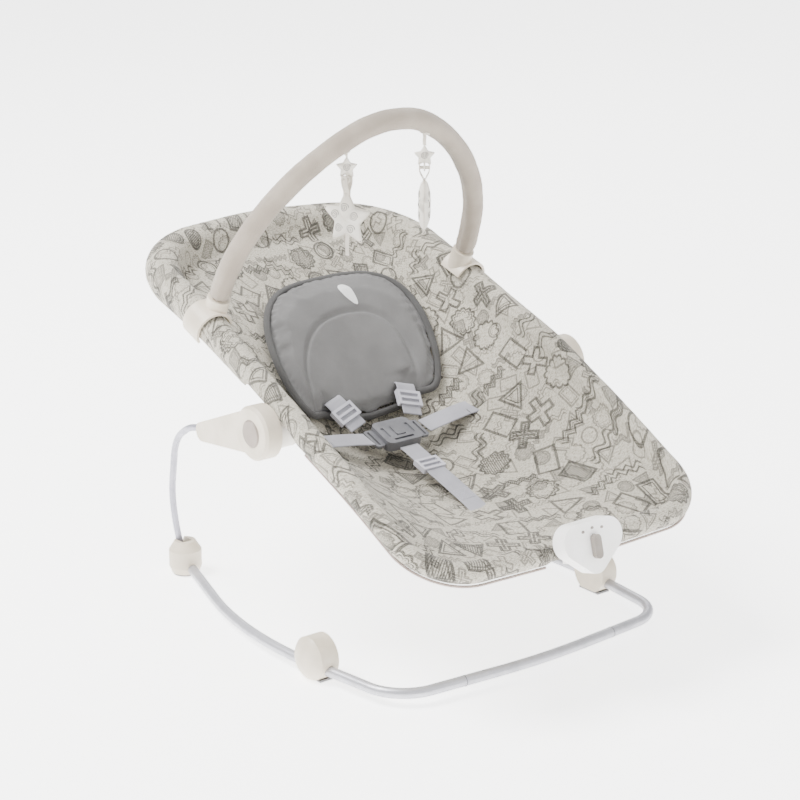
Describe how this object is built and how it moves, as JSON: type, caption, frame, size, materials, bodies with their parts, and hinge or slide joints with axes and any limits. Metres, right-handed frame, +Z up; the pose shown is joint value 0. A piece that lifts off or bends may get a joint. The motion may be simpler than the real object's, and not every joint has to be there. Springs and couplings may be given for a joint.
{
  "type": "infant bouncer seat",
  "caption": "Padded sling on an oval tube frame, held at hubs by spring wires over a floor loop, with toy bar, harness and vibration unit.",
  "frame": {"origin": "middle of the bounding box at floor level", "axes": "+X from the head end to the foot end, +Y to the sitter's left, +Z up"},
  "size_m": [0.6369, 0.455, 0.574],
  "materials": {
    "tube_steel": "powder coated, satin",
    "spring_steel": "powder coated, satin",
    "white_shell": "fine matt",
    "inner_shell": "fine matt",
    "taupe_button": "matt",
    "dark_gear": "moulded",
    "bare_steel": "zinc plated",
    "grip_rubber": "matt",
    "print_fabric": "quilted woven melange with a stitched print",
    "piping": "corded edge",
    "pad_fabric": "brushed knit",
    "webbing": "woven",
    "buckle_plastic": "fine texture",
    "slider_plastic": "smooth",
    "rod_plastic": "smooth",
    "sleeve_fabric": "padded woven sleeve",
    "toy_fabric": "soft plush",
    "toy_star": "stitched felt",
    "toy_ribbon": "satin ribbon",
    "unit_shell": "satin",
    "knob_plastic": "matt",
    "board": "circuit board",
    "cell": "dry cell"
  },
  "bodies": {
    "base": {"front_cross_tube": "tube_steel", "left_side_tube": "tube_steel", "right_side_tube": "tube_steel", "left_front_foot": "white_shell", "right_front_foot": "white_shell", "left_rear_foot": "white_shell", "right_rear_foot": "white_shell", "foot_grip_pads": "grip_rubber", "foot_screws": "bare_steel"},
    "spring_arms": {"left_spring_wire": "spring_steel", "right_spring_wire": "spring_steel", "left_hub_outer": "white_shell", "right_hub_outer": "white_shell", "left_hub_pin": "bare_steel", "right_hub_pin": "bare_steel"},
    "left_button": {"left_hub_button": "taupe_button", "left_lock_gear": "dark_gear"},
    "right_button": {"right_hub_button": "taupe_button", "right_lock_gear": "dark_gear"},
    "seat": {"left_hub_inner": "inner_shell", "right_hub_inner": "inner_shell", "left_lock_spring": "bare_steel", "right_lock_spring": "bare_steel", "head_frame_tube": "tube_steel", "foot_frame_tube": "tube_steel", "seat_sling": "print_fabric", "rim_piping": "piping", "head_pad": "pad_fabric", "left_shoulder_strap": "webbing", "right_shoulder_strap": "webbing", "left_waist_strap": "webbing", "right_waist_strap": "webbing", "crotch_strap": "webbing", "buckle_body": "buckle_plastic", "buckle_cover": "buckle_plastic", "left_bar_clip": "white_shell", "right_bar_clip": "white_shell", "unit_front_shell": "unit_shell", "unit_rear_shell": "unit_shell", "unit_motor": "bare_steel", "unit_switch_board": "board", "unit_battery": "cell", "unit_screws": "bare_steel"},
    "buckle_button": {"buckle_button": "buckle_plastic"},
    "left_tongue": {"left_tongue": "buckle_plastic"},
    "right_tongue": {"right_tongue": "buckle_plastic"},
    "left_shoulder_slider": {"left_shoulder_slider": "slider_plastic"},
    "right_shoulder_slider": {"right_shoulder_slider": "slider_plastic"},
    "crotch_slider": {"crotch_slider": "slider_plastic"},
    "toy_bar": {"toy_bar_rod": "rod_plastic", "toy_bar_sleeve": "sleeve_fabric"},
    "left_toy": {"left_toy_ribbon": "toy_ribbon", "left_small_star": "toy_star"},
    "right_toy": {"right_toy_ribbon": "toy_ribbon", "right_small_star": "toy_star"},
    "left_star": {"left_plush_star": "toy_fabric"},
    "right_star": {"right_plush_star": "toy_fabric"},
    "unit_knob": {"unit_knob": "knob_plastic"},
    "unit_weight": {"unit_weight": "bare_steel"}
  },
  "joints": [
    {"name": "bounce", "type": "hinge", "parent": "base", "child": "spring_arms", "pos_m": [-0.2491, 0, 0.022], "axis": [0, 1, 0], "range_deg": [-3, 3], "stiffness_Nm_per_rad": 400, "springref_deg": -0.6},
    {"name": "recline", "type": "hinge", "parent": "spring_arms", "child": "seat", "pos_m": [0.0139, 0, 0.258], "axis": [0, 1, 0], "range_deg": [-10, 12]},
    {"name": "left_release", "type": "slide", "parent": "spring_arms", "child": "left_button", "axis": [0, -1, 0], "range_m": [0, 0.004], "stiffness_N_per_m": 800, "springref_m": -0.001, "deforming": ["left_lock_spring"]},
    {"name": "right_release", "type": "slide", "parent": "spring_arms", "child": "right_button", "axis": [0, 1, 0], "range_m": [0, 0.004], "stiffness_N_per_m": 800, "springref_m": -0.001, "deforming": ["right_lock_spring"]},
    {"name": "buckle_press", "type": "slide", "parent": "seat", "child": "buckle_button", "axis": [-0.342, 0, -0.9397], "range_m": [0, 0.0025], "stiffness_N_per_m": 600, "springref_m": -0.001},
    {"name": "left_unclip", "type": "slide", "parent": "seat", "child": "left_tongue", "axis": [0, 1, 0], "range_m": [0, 0.014], "deforming": ["left_waist_strap", "left_shoulder_strap"]},
    {"name": "right_unclip", "type": "slide", "parent": "seat", "child": "right_tongue", "axis": [0, -1, 0], "range_m": [0, 0.014], "deforming": ["right_waist_strap", "right_shoulder_strap"]},
    {"name": "left_shoulder_adjust", "type": "slide", "parent": "seat", "child": "left_shoulder_slider", "axis": [0.7299, -0.2965, -0.6159], "range_m": [-0.005, 0.008]},
    {"name": "right_shoulder_adjust", "type": "slide", "parent": "seat", "child": "right_shoulder_slider", "axis": [0.7299, 0.2965, -0.6159], "range_m": [-0.005, 0.008]},
    {"name": "crotch_adjust", "type": "slide", "parent": "seat", "child": "crotch_slider", "axis": [-0.9561, 0, 0.2929], "range_m": [-0.04, 0.015]},
    {"name": "toy_bar_pull", "type": "slide", "parent": "seat", "child": "toy_bar", "axis": [0.4305, 0, 0.9026], "range_m": [0, 0.03]},
    {"name": "left_toy_swing", "type": "hinge", "parent": "toy_bar", "child": "left_toy", "pos_m": [-0.0328, 0.04994, 0.5513], "axis": [-0.1954, 0.891, -0.4098], "range_deg": [-25, 25]},
    {"name": "right_toy_swing", "type": "hinge", "parent": "toy_bar", "child": "right_toy", "pos_m": [-0.0369, -0.06616, 0.5427], "axis": [-0.2345, -0.8387, -0.4916], "range_deg": [-25, 25]},
    {"name": "left_star_swing", "type": "hinge", "parent": "left_toy", "child": "left_star", "pos_m": [-0.03168, 0.04482, 0.502], "axis": [0.6428, 0.766, 0], "range_deg": [-20, 20]},
    {"name": "right_star_swing", "type": "hinge", "parent": "right_toy", "child": "right_star", "pos_m": [-0.03521, -0.0601, 0.502], "axis": [-0.342, 0.9397, 0], "range_deg": [-20, 20]},
    {"name": "vibration_dial", "type": "hinge", "parent": "seat", "child": "unit_knob", "pos_m": [0.3089, 0, 0.167], "axis": [0.9659, 0, 0.2588], "range_deg": [-35, 35]},
    {"name": "motor_spin", "type": "hinge", "parent": "seat", "child": "unit_weight", "pos_m": [0.30286, 0, 0.15089], "axis": [0, 1, 0], "continuous": true}
  ]
}
